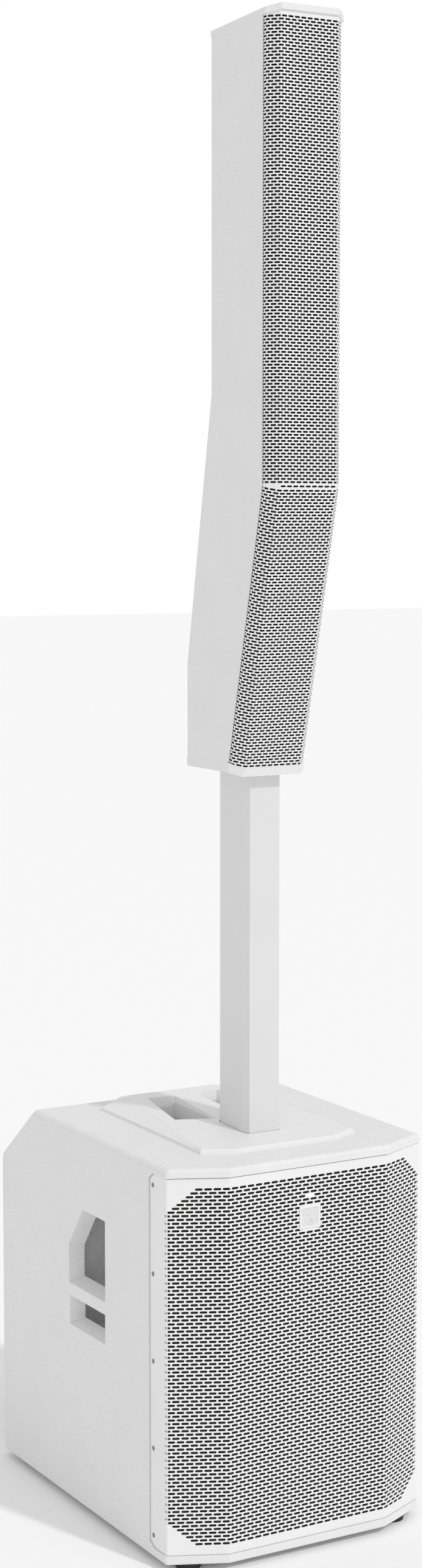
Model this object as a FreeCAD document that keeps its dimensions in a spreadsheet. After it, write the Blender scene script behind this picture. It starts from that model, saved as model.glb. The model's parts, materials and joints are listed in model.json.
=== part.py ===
"""Column loudspeaker system: a bass cabinet, a pole that stands in it and a J-shaped column on top.

Units are millimetres. +Z is up, X = 0 is the plane of symmetry and the grilles face -Y.
The origin is on the floor, under the middle of the bass cabinet.
"""
import FreeCAD, Part
import math
import os
import Sketcher

Vector = FreeCAD.Vector
doc = FreeCAD.newDocument("ColumnLoudspeakerSystem")
sheet = doc.addObject("Spreadsheet::Sheet", "Dimensions")


# ---------------------------------------------------------------- driving dimensions

class Size:
    """A length kept both as a number and as an expression on the spreadsheet's cells."""

    def __init__(self, value, text):
        self.value = value
        self.text = text

    def __add__(self, other):
        other = size(other)
        return Size(self.value + other.value, f"({self.text} + {other.text})")

    def __sub__(self, other):
        other = size(other)
        return Size(self.value - other.value, f"({self.text} - {other.text})")

    def __mul__(self, other):
        other = size(other)
        return Size(self.value * other.value, f"({self.text} * {other.text})")

    def __truediv__(self, other):
        other = size(other)
        return Size(self.value / other.value, f"({self.text} / {other.text})")

    def __neg__(self):
        return Size(-self.value, f"(0 - {self.text})")

    def __radd__(self, other):
        return size(other) + self

    def __rsub__(self, other):
        return size(other) - self

    def __rmul__(self, other):
        return size(other) * self


def size(value):
    """Take a plain number as a Size."""
    if isinstance(value, Size):
        return value
    return Size(float(value), f"({float(value):.6f})")


cell_count = 0


def cell(alias, value):
    """Write one driving dimension into the sheet and give it back as a Size."""
    global cell_count
    cell_count += 1
    sheet.set(f"A{cell_count}", alias)
    sheet.set(f"B{cell_count}", str(value))
    sheet.setAlias(f"B{cell_count}", alias)
    return Size(float(value), f"Dimensions.{alias}")


# Bass cabinet
FOOT = cell("foot_height", 10)
WIDTH = cell("cabinet_width", 394)
DEPTH = cell("cabinet_depth", 527.4)
HEIGHT = cell("cabinet_height", 524.6)
CORNER_X = cell("front_corner_width", 75.4)
CORNER_Y = cell("front_corner_depth", 35.3)
SLOPE_Y = cell("rear_slope_depth", 106.6)
SLOPE_Z = cell("rear_slope_height", 84.8)
SIDE_WALL = cell("side_wall", 20)
BOARD = cell("board_thickness", 18)
LIP = cell("front_lip", 12.1)
BAFFLE_Y = cell("baffle_setback", 85.7)
SHEET = cell("grille_sheet", 1.5)
INSET = cell("grille_inset", 1.8)
FLANGE = cell("grille_flange", 42)
WOOFER_R = cell("woofer_radius", 154)
WOOFER_Z = cell("woofer_height", 195)
PORT_X = cell("port_offset", 118)
PORT_Z = cell("port_height", 425)
PORT_R = cell("port_radius", 38)
# Rear panel
PANEL_W = cell("panel_width", 258)
PANEL_LOW = cell("panel_bottom", 71)
PANEL_HIGH = cell("panel_top", 399)
PANEL_T = cell("panel_thickness", 2)
# Tray and pole
TRAY_W = cell("tray_half_width", 120)
TRAY_FRONT = cell("tray_front", -204)
TRAY_REAR = cell("tray_rear", 152)
TRAY_RISE_FRONT = cell("tray_rise_front", 6)
TRAY_RISE_REAR = cell("tray_rise_rear", 16.8)
POLE_W = cell("pole_width", 54.6)
POLE_FRONT = cell("pole_front", -145.9)
POLE_REAR = cell("pole_rear", -67.2)
POLE_CX = cell("pole_corner_width", 4.5)
POLE_CY = cell("pole_corner_depth", 11.2)
POLE_WALL = cell("pole_wall", 2.5)
POLE_LOW = cell("pole_bottom", 436)
POLE_HIGH = cell("pole_top", 1100)
# Column
COL_W = cell("column_width", 114.8)
COL_FLAT = cell("column_front_flat", 84.6)
COL_FRONT = cell("column_front", -251.3)
COL_REAR = cell("column_rear_upper", -103)
COL_REAR_LOW = cell("column_rear_lower", -38.3)
COL_BOTTOM = cell("column_bottom_joint", 1042)
COL_KINK = cell("column_kink", 1401)
COL_TOP = cell("column_top", 1997.4)
REAR_KINK_HIGH = cell("rear_kink_high", 1522)
REAR_KINK_LOW = cell("rear_kink_low", 1167)
LEAN = cell("lower_lean", 0.2333)
SKIN = cell("column_skin", 2)
DRIVER_PITCH = cell("driver_pitch", 112)
# Shared
RUN = cell("sliding_gap", 0.4)
GAP = cell("fixed_gap", 0.3)

X_SIDE = WIDTH / 2
Y_FRONT = -DEPTH / 2
Y_REAR = DEPTH / 2
Z_LOW = FOOT
Z_HIGH = FOOT + HEIGHT
X_FLAT = X_SIDE - CORNER_X
X_WALL = X_SIDE - SIDE_WALL
Y_CORNER = Y_FRONT + CORNER_Y
Y_BAFFLE = Y_FRONT + BAFFLE_Y
Y_WALL = Y_REAR - BOARD
Z_GRILLE_LOW = Z_LOW + LIP
Z_GRILLE_HIGH = Z_HIGH - LIP
POLE_X = POLE_W / 2
COL_X = COL_W / 2
GRILLE_X = COL_X - SKIN - GAP
COL_FLAT_X = COL_FLAT / 2


# ---------------------------------------------------------------- helpers

def bind(thing, prop, value):
    """Set a property from the sheet."""
    thing.setExpression(prop, size(value).text)


def body(label):
    """A new PartDesign body, named after its node."""
    made = doc.addObject("PartDesign::Body", label)
    made.Label = label
    return made


def origin_plane(owner, role):
    """One of the body's own origin planes."""
    return next(f for f in owner.Origin.OriginFeatures if f.Role == role)


def new_sketch(owner, role, lift=0):
    """A sketch on one of the body's origin planes, moved along the plane's normal."""
    made = owner.newObject("Sketcher::SketchObject", "Sketch")
    made.AttachmentSupport = [(origin_plane(owner, role), "")]
    made.MapMode = "FlatFace"
    bind(made, "AttachmentOffset.Base.z", lift)
    return made


def add_polygon(sketch, points):
    """A closed outline whose corners are tied to the sheet."""
    points = [(size(u), size(v)) for u, v in points]
    first = sketch.GeometryCount
    count = len(points)
    for i in range(count):
        here, after = points[i], points[(i + 1) % count]
        sketch.addGeometry(Part.LineSegment(Vector(here[0].value, here[1].value, 0),
                                            Vector(after[0].value, after[1].value, 0)))
    for i in range(count):
        sketch.addConstraint(Sketcher.Constraint("Coincident", first + i, 2, first + (i + 1) % count, 1))
    for i, (u, v) in enumerate(points):
        for kind, coordinate in (("DistanceX", u), ("DistanceY", v)):
            index = sketch.addConstraint(
                Sketcher.Constraint(kind, -1, 1, first + i, 1, coordinate.value))
            sketch.setExpression(f"Constraints[{index}]", coordinate.text)


def add_circle(sketch, u, v, radius):
    """A circle whose centre and radius are tied to the sheet."""
    u, v, radius = size(u), size(v), size(radius)
    index = sketch.addGeometry(Part.Circle(Vector(u.value, v.value, 0), Vector(0, 0, 1), radius.value))
    for kind, coordinate in (("DistanceX", u), ("DistanceY", v)):
        place = sketch.addConstraint(Sketcher.Constraint(kind, -1, 1, index, 3, coordinate.value))
        sketch.setExpression(f"Constraints[{place}]", coordinate.text)
    place = sketch.addConstraint(Sketcher.Constraint("Radius", index, radius.value))
    sketch.setExpression(f"Constraints[{place}]", radius.text)


def polygon_sketch(owner, role, outlines, lift=0):
    """A sketch of one or more closed outlines."""
    made = new_sketch(owner, role, lift)
    for outline in outlines:
        add_polygon(made, outline)
    return made


def pad(owner, sketch, length, middle=False, reverse=False):
    """Extrude a sketch, along its normal or to both sides of it."""
    made = owner.newObject("PartDesign::Pad", "Pad")
    made.Profile = sketch
    made.Midplane = middle
    made.Reversed = reverse
    bind(made, "Length", length)
    return made


def pocket(owner, sketch, length, middle=False, reverse=False, taper=0):
    """Cut a sketch into the body, and check that it took material away."""
    doc.recompute()
    before = owner.Shape.Volume
    made = owner.newObject("PartDesign::Pocket", "Pocket")
    made.Profile = sketch
    made.Midplane = middle
    made.Reversed = reverse
    made.TaperAngle = taper
    bind(made, "Length", length)
    doc.recompute()
    if not owner.Shape.Volume < before - 0.01:
        raise RuntimeError(f"a pocket of {owner.Label} cuts nothing")
    return made


def loft(owner, sketches):
    """Join sections with straight walls."""
    made = owner.newObject("PartDesign::AdditiveLoft", "Loft")
    made.Profile = sketches[0]
    made.Sections = sketches[1:]
    made.Ruled = True
    return made


def edge_names(feature, wanted):
    """Names of the edges whose middle point and direction satisfy a test."""
    names = []
    for i, edge in enumerate(feature.Shape.Edges, 1):
        ends = [vertex.Point for vertex in edge.Vertexes]
        if len(ends) == 2 and wanted((ends[0] + ends[1]) / 2, (ends[1] - ends[0]).normalize()):
            names.append(f"Edge{i}")
    return names


def round_edges(owner, radius, wanted, kind="Fillet"):
    """Fillet or chamfer the edges that satisfy a test."""
    doc.recompute()
    last = owner.Tip
    names = edge_names(last, wanted)
    if not names:
        raise RuntimeError(f"no edge of {owner.Label} to round")
    made = owner.newObject(f"PartDesign::{kind}", kind)
    made.Base = (last, names)
    bind(made, "Radius" if kind == "Fillet" else "Size", radius)
    doc.recompute()
    if "Invalid" in made.State or made.Shape.isNull():
        raise RuntimeError(f"{kind} of {owner.Label} failed")
    return made


def box(x, y, z, label="Box"):
    """A block between two X, two Y and two Z positions."""
    made = doc.addObject("Part::Box", label)
    for prop, axis, (low, high) in (("Length", "x", x), ("Width", "y", y), ("Height", "z", z)):
        bind(made, prop, size(high) - low)
        bind(made, f"Placement.Base.{axis}", low)
    return made


TURN = {"x": FreeCAD.Rotation(Vector(0, 1, 0), 90),
        "y": FreeCAD.Rotation(Vector(1, 0, 0), -90),
        "z": FreeCAD.Rotation()}


def rod(axis, start, length, radius, end_radius=None, label="Rod"):
    """A cylinder, or a cone, from a start point along +X, +Y or +Z."""
    if end_radius is None:
        made = doc.addObject("Part::Cylinder", label)
        bind(made, "Radius", radius)
    else:
        made = doc.addObject("Part::Cone", label)
        bind(made, "Radius1", radius)
        bind(made, "Radius2", end_radius)
    bind(made, "Height", length)
    made.Placement = FreeCAD.Placement(Vector(), TURN[axis])
    for letter, value in zip("xyz", start):
        bind(made, f"Placement.Base.{letter}", value)
    return made


def cut(label, base, tools):
    """Take the tools away from the base."""
    made = doc.addObject("Part::Cut", label)
    made.Base = base
    made.Tool = tools[0] if len(tools) == 1 else fuse("Tools", tools)
    made.Label = label
    return made


def fuse(label, pieces):
    """Join touching pieces into one solid."""
    if len(pieces) == 1:
        pieces[0].Label = label
        return pieces[0]
    made = doc.addObject("Part::MultiFuse", label)
    made.Shapes = pieces
    made.Label = label
    return made


def group(label, pieces):
    """Keep separate solids together in one node."""
    made = doc.addObject("Part::Compound", label)
    made.Links = pieces
    made.Label = label
    return made


def turned(owner, outline):
    """Revolve an outline of (position along Y, radius) points about the body's Y axis."""
    made = owner.newObject("PartDesign::Revolution", "Revolution")
    made.Profile = polygon_sketch(owner, "YZ_Plane", [outline])
    made.ReferenceAxis = (made.Profile[0], ["H_Axis"])
    made.Angle = 360
    return made


def loose_turned(outline):
    """The same, as a bare shape for parts that repeat along the column."""
    points = [Vector(0, size(along).value, size(radius).value) for along, radius in outline]
    face = Part.Face(Part.makePolygon(points + points[:1]))
    return face.revolve(Vector(), Vector(0, 1, 0), 360)


def feature(label, shape):
    """A shape worked out from the sheet's values."""
    made = doc.addObject("Part::Feature", label)
    made.Label = label
    made.Shape = shape
    return made


def both_sides(half):
    """Mirror a list of points with X > 0, so that the outline closes across X = 0."""
    return list(half) + [(-size(u), v) for u, v in reversed(half)]


nodes = []


def node(made):
    """Note an object as one of the parts to write."""
    nodes.append(made)
    return made


# ---------------------------------------------------------------- bass cabinet

def slope_height(y):
    """Height of the sloped rear corner's outer face at a depth."""
    return Z_HIGH - (size(y) - (Y_REAR - SLOPE_Y)) * SLOPE_Z / SLOPE_Y


# Hand openings as (front, rear, bottom, top), and the cut off the first one's rear top corner
HANDLE_OPENINGS = ((-61.5, 46, 315.2, 426.5), (-61, 44, 257, 298))
HANDLE_CUT = (42, 57)
HANDLE_DRAFT = 22
GRILLE_SCREW_Z = (38.3, 155.7, 272.5, 388.7, 506.3)
GRILLE_SCREW_Y = -192.4
# Corner cuts of the grille's side flange, as (length, height)
FLANGE_CUT_LOW = (13, 6.4)
FLANGE_CUT_HIGH = (10.6, 8.2)


def flange_outline(gap):
    """Side view of the grille's side flange, with its two corners cut; gap widens it."""
    front = Y_CORNER - 4
    rear = Y_FRONT + INSET + CORNER_Y + FLANGE + gap
    low_in, low_up = FLANGE_CUT_LOW
    high_in, high_down = FLANGE_CUT_HIGH
    return [(front, Z_GRILLE_LOW), (rear - low_in, Z_GRILLE_LOW), (rear, Z_GRILLE_LOW + low_up),
            (rear, Z_GRILLE_HIGH - high_down), (rear - high_in, Z_GRILLE_HIGH), (front, Z_GRILLE_HIGH)]


def sub_cabinet():
    """Painted wooden cabinet: octagonal front plates, sloped rear top corner, hand openings."""
    made = body("sub_cabinet")
    plan = [(-X_FLAT, Y_FRONT), (X_FLAT, Y_FRONT), (X_SIDE, Y_CORNER),
            (X_SIDE, Y_REAR), (-X_SIDE, Y_REAR), (-X_SIDE, Y_CORNER)]
    pad(made, polygon_sketch(made, "XY_Plane", [plan], Z_LOW), HEIGHT)
    wedge = [(Y_REAR - SLOPE_Y, Z_HIGH), (Y_REAR, Z_HIGH - SLOPE_Z), (Y_REAR + 20, Z_HIGH - SLOPE_Z),
             (Y_REAR + 20, Z_HIGH + 20), (Y_REAR - SLOPE_Y, Z_HIGH + 20)]
    pocket(made, polygon_sketch(made, "YZ_Plane", [wedge]), WIDTH + 20, middle=True)
    top, side = Z_HIGH.value, X_SIDE.value
    round_edges(made, 20, lambda at, way: at.y > 150 and abs(way.x) > 0.9 and at.z > 440)
    round_edges(made, 9, lambda at, way: abs(abs(at.x) - side) < 0.1 and abs(way.y) > 0.1 and at.z > 440)
    round_edges(made, 5, lambda at, way: abs(at.z - top) < 0.1 and at.y < Y_CORNER.value + 5)
    round_edges(made, 3, lambda at, way: abs(at.z - Z_LOW.value) < 0.1)
    # Open front, and the hollow behind the baffle
    y_open = -226
    hollow = [(Y_FRONT - 30, Z_GRILLE_LOW), (Y_BAFFLE, Z_GRILLE_LOW), (Y_BAFFLE, Z_LOW + BOARD),
              (Y_WALL, Z_LOW + BOARD), (Y_WALL, slope_height(Y_WALL) - 23),
              (150.8, Z_HIGH - BOARD), (Y_BAFFLE, Z_HIGH - BOARD), (Y_BAFFLE, Z_GRILLE_HIGH),
              (Y_FRONT - 30, Z_GRILLE_HIGH)]
    pocket(made, polygon_sketch(made, "YZ_Plane", [hollow]), X_WALL * 2, middle=True)
    mouth = [(Y_FRONT - 30, Z_GRILLE_LOW), (y_open, Z_GRILLE_LOW), (y_open, Z_GRILLE_HIGH),
             (Y_FRONT - 30, Z_GRILLE_HIGH)]
    pocket(made, polygon_sketch(made, "YZ_Plane", [mouth]), WIDTH + 20, middle=True)
    # Steps for the grille's side flanges, and the flange screws' pilot holes
    step = INSET + SHEET
    for way in (1, -1):
        lift = (X_SIDE - step) * way
        pocket(made, polygon_sketch(made, "YZ_Plane", [flange_outline(0.8)], lift), 20, reverse=way > 0)
        pilots = new_sketch(made, "YZ_Plane", lift)
        for z in GRILLE_SCREW_Z:
            add_circle(pilots, GRILLE_SCREW_Y, z, 1.6)
        pocket(made, pilots, 16, reverse=way < 0)
    # Rear panel, tray and pole openings
    panel = PANEL_W / 2 + 1
    low = PANEL_LOW - 1
    high = PANEL_HIGH + 1
    rear = [(-panel, low), (panel, low), (panel, high), (-panel, high)]
    pocket(made, polygon_sketch(made, "XZ_Plane", [rear], -Y_REAR), BOARD, reverse=True)
    well = both_sides([(38, -156), (38, -66), (90, -66), (90, 94)])
    pocket(made, polygon_sketch(made, "XY_Plane", [well], Z_HIGH), BOARD)
    # Hand openings in the sides, narrowing inwards
    for way in (1, -1):
        for number, (front, back, low, high) in enumerate(HANDLE_OPENINGS):
            outline = [(front, low), (back, low), (back, high), (front, high)]
            if number == 0:
                outline[2:3] = [(back, high - HANDLE_CUT[1]), (back - HANDLE_CUT[0], high)]
            pocket(made, polygon_sketch(made, "YZ_Plane", [outline], X_SIDE * way), SIDE_WALL,
                   reverse=way < 0, taper=-HANDLE_DRAFT)
    return made


def baffle_board():
    """Board behind the grille that carries the woofer and the two ports."""
    board = box((-X_WALL, X_WALL), (Y_BAFFLE, Y_BAFFLE + BOARD), (Z_LOW + BOARD, Z_HIGH - BOARD))
    holes = [rod("y", (0, Y_BAFFLE - 1, WOOFER_Z), BOARD + 2, WOOFER_R - 12)]
    holes += [rod("y", (PORT_X * way, Y_BAFFLE - 1, PORT_Z), BOARD + 2, PORT_R) for way in (-1, 1)]
    holes += [rod("y", (x, Y_BAFFLE - 1, WOOFER_Z + z), BOARD + 2, 2) for x, z in woofer_screw_places()]
    return cut("baffle_board", board, holes)


def cabinet_brace():
    """Window brace between the two sides."""
    board = box((-X_WALL, X_WALL), (68, 84), (Z_LOW + BOARD, 462))
    return cut("cabinet_brace", board, [box((-115, 115), (60, 90), (70, 405))])


def port_tubes():
    """Two bass reflex tubes, each with a flange on the baffle's front."""
    tubes = []
    for way in (-1, 1):
        at = PORT_X * way
        tube = fuse("Tube", [rod("y", (at, Y_BAFFLE, PORT_Z), 96, PORT_R),
                             rod("y", (at, Y_BAFFLE - 3, PORT_Z), 3, PORT_R + 8)])
        tubes.append(cut("Port", tube, [rod("y", (at, Y_BAFFLE - 5, PORT_Z), 110, PORT_R - 3)]))
    return group("port_tubes", tubes)


def folded_plan(inset, thickness, flange_y):
    """Plan of a sheet that follows the octagonal front, from one flange's edge to the other's."""
    def line(offset):
        side = X_SIDE - offset
        across = offset * 1.104
        corner = Y_FRONT + across + (side - X_FLAT) * CORNER_Y / CORNER_X
        flat = X_FLAT + (offset - across) * CORNER_X / CORNER_Y
        return [(side, flange_y), (side, corner), (flat, Y_FRONT + offset)]
    outer = line(size(inset))
    inner = line(size(inset) + thickness)
    left = [(-x, y) for x, y in outer]
    left_in = [(-x, y) for x, y in inner]
    return outer + left[::-1] + left_in + inner[::-1]


def sub_grille():
    """Folded steel grille: front, two angled corners and two side flanges."""
    made = body("sub_grille")
    rear = Y_FRONT + INSET + CORNER_Y + FLANGE
    plan = folded_plan(INSET, SHEET, rear)
    pad(made, polygon_sketch(made, "XY_Plane", [plan], Z_GRILLE_LOW + 0.5), HEIGHT - LIP * 2 - 1)
    corners = []
    for edge, beyond, (along, up) in ((Z_GRILLE_LOW, Z_LOW, FLANGE_CUT_LOW),
                                      (Z_GRILLE_HIGH, Z_HIGH, (FLANGE_CUT_HIGH[0], -FLANGE_CUT_HIGH[1]))):
        corners.append([(rear, edge + up), (rear - along, edge), (rear - along, beyond), (rear + 5, beyond),
                        (rear + 5, edge + up)])
    pocket(made, polygon_sketch(made, "YZ_Plane", corners), WIDTH + 20, middle=True)
    holes = new_sketch(made, "YZ_Plane")
    for z in GRILLE_SCREW_Z:
        add_circle(holes, GRILLE_SCREW_Y, z, 3.1)
    pocket(made, holes, WIDTH + 20, middle=True)
    return made


def sub_grille_foam():
    """Black foam sheet behind the front and the angled corners of the grille."""
    made = body("sub_grille_foam")
    side = X_WALL - 1
    plan = folded_plan(3.9, 5, Y_CORNER + 6)
    pad(made, polygon_sketch(made, "XY_Plane", [plan], Z_GRILLE_LOW + 1), HEIGHT - LIP * 2 - 2)
    for way in (-1, 1):
        trim = [(side * way, -300), (300 * way, -300), (300 * way, -150), (side * way, -150)]
        pocket(made, polygon_sketch(made, "XY_Plane", [trim], Z_HIGH), HEIGHT)
    return made


def countersunk_screw(axis, way, head_at, head_radius, shank_radius, length):
    """A flat-headed screw whose head's face is at head_at and whose shank points along way."""
    head_height = head_radius - shank_radius
    x, y, z = [size(value) for value in head_at]
    start = [x, y, z]
    number = "xyz".index(axis)
    if way > 0:
        head = rod(axis, start, head_height, head_radius, shank_radius)
        shank = rod(axis, start, length, shank_radius)
    else:
        start[number] = start[number] - head_height
        head = rod(axis, start, head_height, shank_radius, head_radius)
        start[number] = start[number] - (length - head_height)
        shank = rod(axis, start, length, shank_radius)
    return fuse("Screw", [head, shank])


def grille_screws():
    """Five countersunk screws through each side flange."""
    face = X_SIDE - INSET
    return group("grille_screws", [
        countersunk_screw("x", -way, (face * way, GRILLE_SCREW_Y, z), 3.1, 1.6, 16)
        for way in (-1, 1) for z in GRILLE_SCREW_Z])


def badge_plate():
    """Blank square badge with a raised rim on the grille's front."""
    made = body("badge_plate")
    face = Y_FRONT + INSET
    square = [(-16, 438), (16, 438), (16, 470.5), (-16, 470.5)]
    pad(made, polygon_sketch(made, "XZ_Plane", [square], -face), INSET - 0.1)
    inner = [(-13, 441), (13, 441), (13, 467.5), (-13, 467.5)]
    pocket(made, polygon_sketch(made, "XZ_Plane", [inner], -face + INSET - 0.1), 0.8)
    return made


def status_lens():
    """Small lit lens that stands in the grille above the badge."""
    lens = box((-5, 5), (Y_FRONT + INSET - 0.8, Y_FRONT + INSET), (481.5, 484.9))
    return fuse("status_lens", [lens])


# ---------------------------------------------------------------- woofer

def on_woofer_axis(made):
    """Lift a body that is turned about the Y axis to the woofer's height."""
    bind(made, "Placement.Base.z", WOOFER_Z)
    return made


def woofer_screw_places():
    """Places of the eight basket screws about the woofer's axis."""
    angles = [math.radians(22.5 + 45 * i) for i in range(8)]
    return [(148 * math.cos(angle), 148 * math.sin(angle)) for angle in angles]


def woofer_frame():
    """Pressed steel basket with its mounting ring on the baffle's front."""
    made = body("woofer_frame")
    y = Y_BAFFLE
    turned(made, [(y - 4, WOOFER_R), (y, WOOFER_R), (y, WOOFER_R - 12.5), (y + 80, 74), (y + 91, 74),
                  (y + 91, 34), (y + 88, 34), (y + 88, 70), (y + 77, 70), (y - 4, WOOFER_R - 16.5)])
    windows = new_sketch(made, "XZ_Plane")
    for i in range(6):
        angle = math.radians(30 + 60 * i)
        add_circle(windows, 104 * math.cos(angle), 104 * math.sin(angle), 20)
    pocket(made, windows, 130, reverse=True)
    screws = new_sketch(made, "XZ_Plane", -y + 6)
    for x, z in woofer_screw_places():
        add_circle(screws, x, z, 2)
    pocket(made, screws, 8)
    return on_woofer_axis(made)


def woofer_surround():
    """Half-roll rubber edge between the basket's ring and the cone."""
    made = body("woofer_surround")
    y = Y_BAFFLE
    roll = [(y - 4, 142.5), (y - 5.2, 142.5), (y - 5.2, 140), (y - 12, 136), (y - 14, 129.5), (y - 12, 123),
            (y - 5.2, 119), (y + 8, 118.6), (y + 8, 119.6), (y - 4.2, 120), (y - 11, 124),
            (y - 12.8, 129.5), (y - 11, 135), (y - 4, 139)]
    turned(made, roll)
    return on_woofer_axis(made)


def woofer_spider():
    """Corrugated ring that centres the voice coil."""
    made = body("woofer_spider")
    y = Y_BAFFLE + 80
    turned(made, [(y, 31.4), (y + 2, 36), (y, 42), (y + 2, 48), (y, 54), (y + 1, 69.6), (y + 2, 69.6),
                  (y + 1, 54), (y + 3, 48), (y + 1, 42), (y + 3, 36), (y + 1, 31.4)])
    return on_woofer_axis(made)


def woofer_magnet():
    """Ring magnet with its front plate, back plate and pole piece."""
    made = body("woofer_magnet")
    y = Y_BAFFLE + 91
    turned(made, [(y, 32), (y, 66), (y + 7, 66), (y + 7, 72), (y + 30, 72), (y + 30, 68), (y + 37, 68),
                  (y + 37, 8), (y, 8), (y, 29.2), (y + 30, 29.2), (y + 30, 38), (y + 7, 38), (y + 7, 32)])
    return on_woofer_axis(made)


def woofer_screws():
    """Eight screws through the basket's ring."""
    made = []
    for x, z in woofer_screw_places():
        head = rod("y", (x, Y_BAFFLE - 7, WOOFER_Z + z), 3, 4.5)
        shank = rod("y", (x, Y_BAFFLE - 4, WOOFER_Z + z), 20, 2)
        made.append(fuse("Screw", [head, shank]))
    return group("woofer_screws", made)


def woofer_cone():
    """Paper cone."""
    made = body("woofer_cone")
    y = Y_BAFFLE
    turned(made, [(y + 8, 118.2), (y + 66, 31.1), (y + 64.6, 31.1), (y + 6.8, 118.2)])
    return on_woofer_axis(made)


def woofer_dust_cap():
    """Domed cap over the middle of the cone."""
    made = body("woofer_dust_cap")
    y = Y_BAFFLE + 55.2
    turned(made, [(y, 45), (y - 9, 36), (y - 15, 22), (y - 17.5, 0), (y - 16.5, 0), (y - 14, 21.5),
                  (y - 8, 35.2), (y + 0.6, 44)])
    return on_woofer_axis(made)


def woofer_voice_coil():
    """Voice coil on its former, glued to the cone's neck."""
    made = body("woofer_voice_coil")
    front = Y_BAFFLE + 62
    winding = Y_BAFFLE + 96
    end = Y_BAFFLE + 106
    turned(made, [(front, 30.2), (front, 31), (winding, 31), (winding, 31.4), (end, 31.4), (end, 30.2)])
    return on_woofer_axis(made)


# ---------------------------------------------------------------- handle cups, tray and pole socket

def handle_cup(side):
    """Moulded cup behind a side's two hand openings."""
    way = -1 if side == "left" else 1
    made = body(f"handle_cup_{side}")
    outline = [(-77, 242), (60, 242), (60, 410), (40, 440), (-77, 440)]
    flange = [(-86, 233), (67, 233), (67, 449), (-86, 449)]
    inner = [(-74, 245), (57, 245), (57, 409), (38.6, 437), (-74, 437)]
    inside = X_WALL * way
    deep, wall = 62, 3
    pad(made, polygon_sketch(made, "YZ_Plane", [outline], inside), deep, reverse=way > 0)
    pad(made, polygon_sketch(made, "YZ_Plane", [flange], inside), wall, reverse=way > 0)
    pocket(made, polygon_sketch(made, "YZ_Plane", [inner], inside), deep - wall, reverse=way < 0)
    for level, radius in ((deep - wall, 14), (deep, 16)):
        floor = X_WALL.value - level
        round_edges(made, radius, lambda at, turn: abs(abs(at.x) - floor) < 0.1)
    return made


TRAY_CORNER = (78.8, 20)
TRAY_REAR_CORNER = (62, 48)
PLATEAU_REAR = 104
# Outline of a hand well, and how far each corner moves in below the bevelled rim
WELL = ((15.6, 73), (57, 79), (79.5, -40), (31, -58), (20, -57))
WELL_STEP = ((3.5, -5), (-4, -6), (-5, 2.5), (0, 5), (3, 4))


def tray_height(y):
    """Height of the tray's top face, which climbs gently to the rear."""
    along = (size(y) - TRAY_FRONT) / (PLATEAU_REAR - TRAY_FRONT)
    return Z_HIGH + TRAY_RISE_FRONT + (TRAY_RISE_REAR - TRAY_RISE_FRONT) * along


def pole_outline(gap):
    """Section of the pole, a rectangle with its corners cut, grown by a gap."""
    x, front, rear = POLE_X + gap, POLE_FRONT - gap, POLE_REAR + gap
    return both_sides([(x - POLE_CX, front), (x, front + POLE_CY), (x, rear - POLE_CY), (x - POLE_CX, rear)])


def top_tray():
    """Moulded top: a plateau round the pole, two hand wells and a carrying bar between them."""
    made = body("top_tray")
    corner_x, corner_y = TRAY_CORNER
    side_y = TRAY_FRONT + corner_y
    rear_x, rear_y = TRAY_REAR_CORNER
    foot = both_sides([(corner_x, TRAY_FRONT), (TRAY_W, side_y), (TRAY_W - 3, TRAY_REAR - rear_y),
                       (rear_x, TRAY_REAR)])
    ledge = both_sides([(corner_x - 1, TRAY_FRONT + 1), (TRAY_W - 1, side_y + 1),
                        (TRAY_W - 4.5, TRAY_REAR - rear_y), (rear_x - 1, TRAY_REAR - 2)])
    step = Z_HIGH + 4
    base = polygon_sketch(made, "XY_Plane", [foot], Z_HIGH)
    loft(made, [base, polygon_sketch(made, "XY_Plane", [ledge], step)])
    # The plateau: a wedge seen from the side, with sloped flanks
    crown = both_sides([(corner_x - 2.5, TRAY_FRONT + 2), (TRAY_W - 2.5, side_y + 2),
                        (75, PLATEAU_REAR - 8), (66, PLATEAU_REAR)])
    flat = polygon_sketch(made, "XY_Plane", [crown], Z_HIGH + TRAY_RISE_FRONT)
    climb = TRAY_RISE_REAR.value - TRAY_RISE_FRONT.value
    tilt = math.degrees(math.atan2(climb, PLATEAU_REAR - TRAY_FRONT.value))
    flat.AttachmentOffset = FreeCAD.Placement(Vector(0, 0, 0), FreeCAD.Rotation(Vector(1, 0, 0), tilt))
    bind(flat, "AttachmentOffset.Base.z", tray_height(0))
    loft(made, [polygon_sketch(made, "XY_Plane", [ledge], step), flat])
    # The bowl under it
    bowl = both_sides([(24, -61.2), (36, -61.2), (84, -43), (62, 84)])
    pad(made, polygon_sketch(made, "XY_Plane", [bowl], Z_HIGH), 62, reverse=True)
    # Two wells with a steep bevelled rim, joined under the bar
    for way in (-1, 1):
        rim = [(x * way, y) for x, y in WELL]
        pocket(made, polygon_sketch(made, "XY_Plane", [rim], Z_HIGH + TRAY_RISE_REAR), 14, taper=-20)
        deep = [((x + dx) * way, y + dy) for (x, y), (dx, dy) in zip(WELL, WELL_STEP)]
        pocket(made, polygon_sketch(made, "XY_Plane", [deep], Z_HIGH + TRAY_RISE_REAR), 76)
    under = [(-52, -52), (52, -52), (52, 64), (-52, 64)]
    pocket(made, polygon_sketch(made, "XY_Plane", [under], Z_HIGH - 12), 46)
    pocket(made, polygon_sketch(made, "XY_Plane", [pole_outline(0.9)], Z_HIGH + 30), 60)
    return made


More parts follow.
